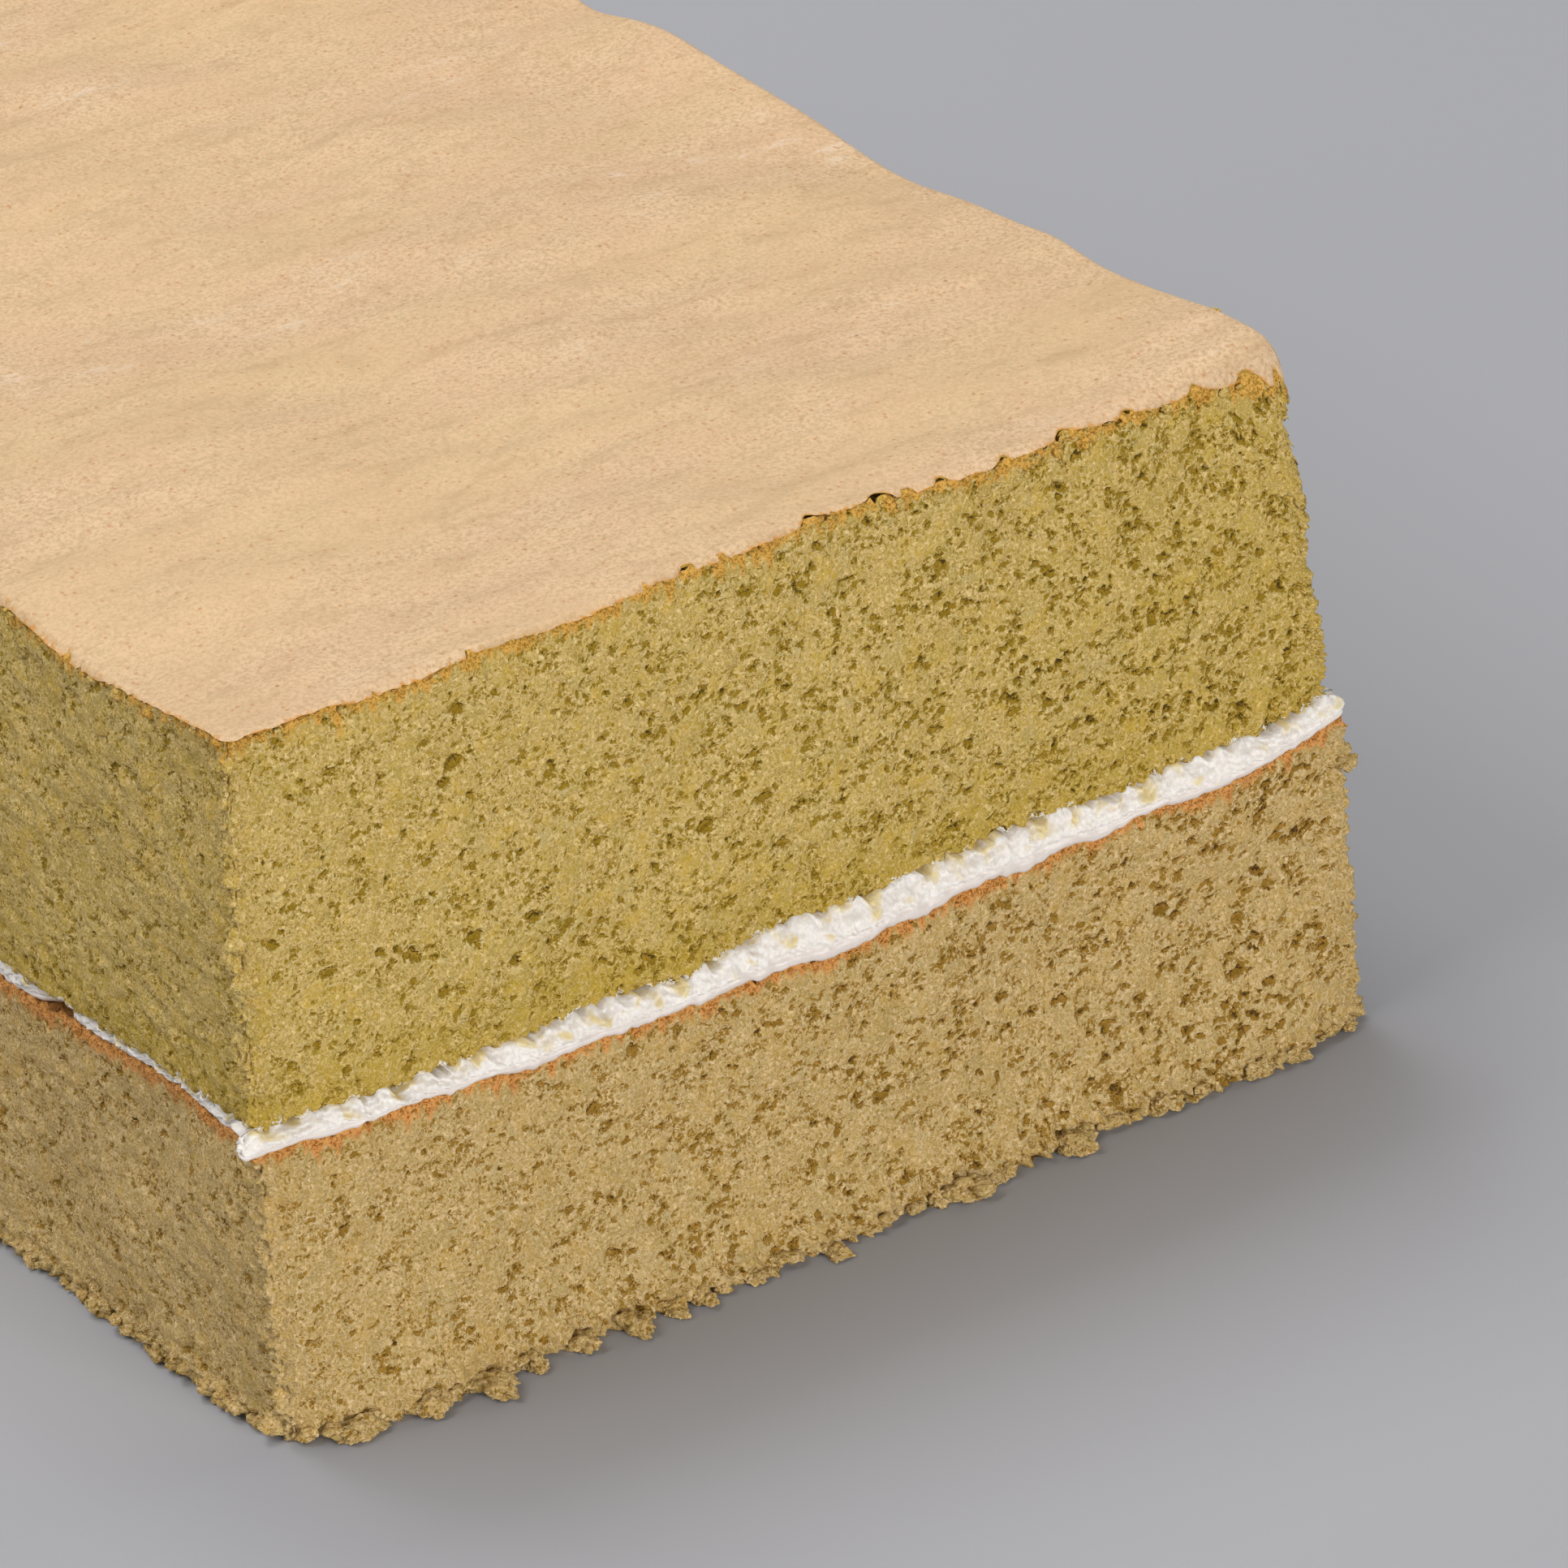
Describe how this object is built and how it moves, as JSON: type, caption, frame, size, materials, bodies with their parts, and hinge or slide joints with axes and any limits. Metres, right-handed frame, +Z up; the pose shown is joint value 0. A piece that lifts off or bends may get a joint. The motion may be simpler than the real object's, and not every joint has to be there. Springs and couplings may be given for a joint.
{
  "type": "green tea chiffon cake",
  "caption": "Rectangular block of green tea chiffon cake: two square-cut sponge layers with a seam of white cream between them and a tan baked top skin.",
  "frame": {"origin": "under the middle of the cake, on the surface that it stands on", "axes": "+X across the width, to the right as seen from the cut front; +Y along the length, away from the cut front; +Z up"},
  "size_m": [0.1406, 0.2523, 0.0794],
  "materials": {
    "upper_crumb": "open olive-green sponge crumb, matt, full of small dark pores",
    "lower_crumb": "open khaki sponge crumb, matt, full of small pores",
    "top_skin": "thin tan baked skin, matt, finely grained and softly wrinkled",
    "baked_line": "thin orange-brown baked crumb, matt",
    "cream": "off-white whipped cream, satin, lumpy where the knife dragged it"
  },
  "bodies": {
    "root": {"lower_sponge": "lower_crumb", "cream_filling": "cream", "upper_sponge": "upper_crumb"}
  },
  "joints": []
}
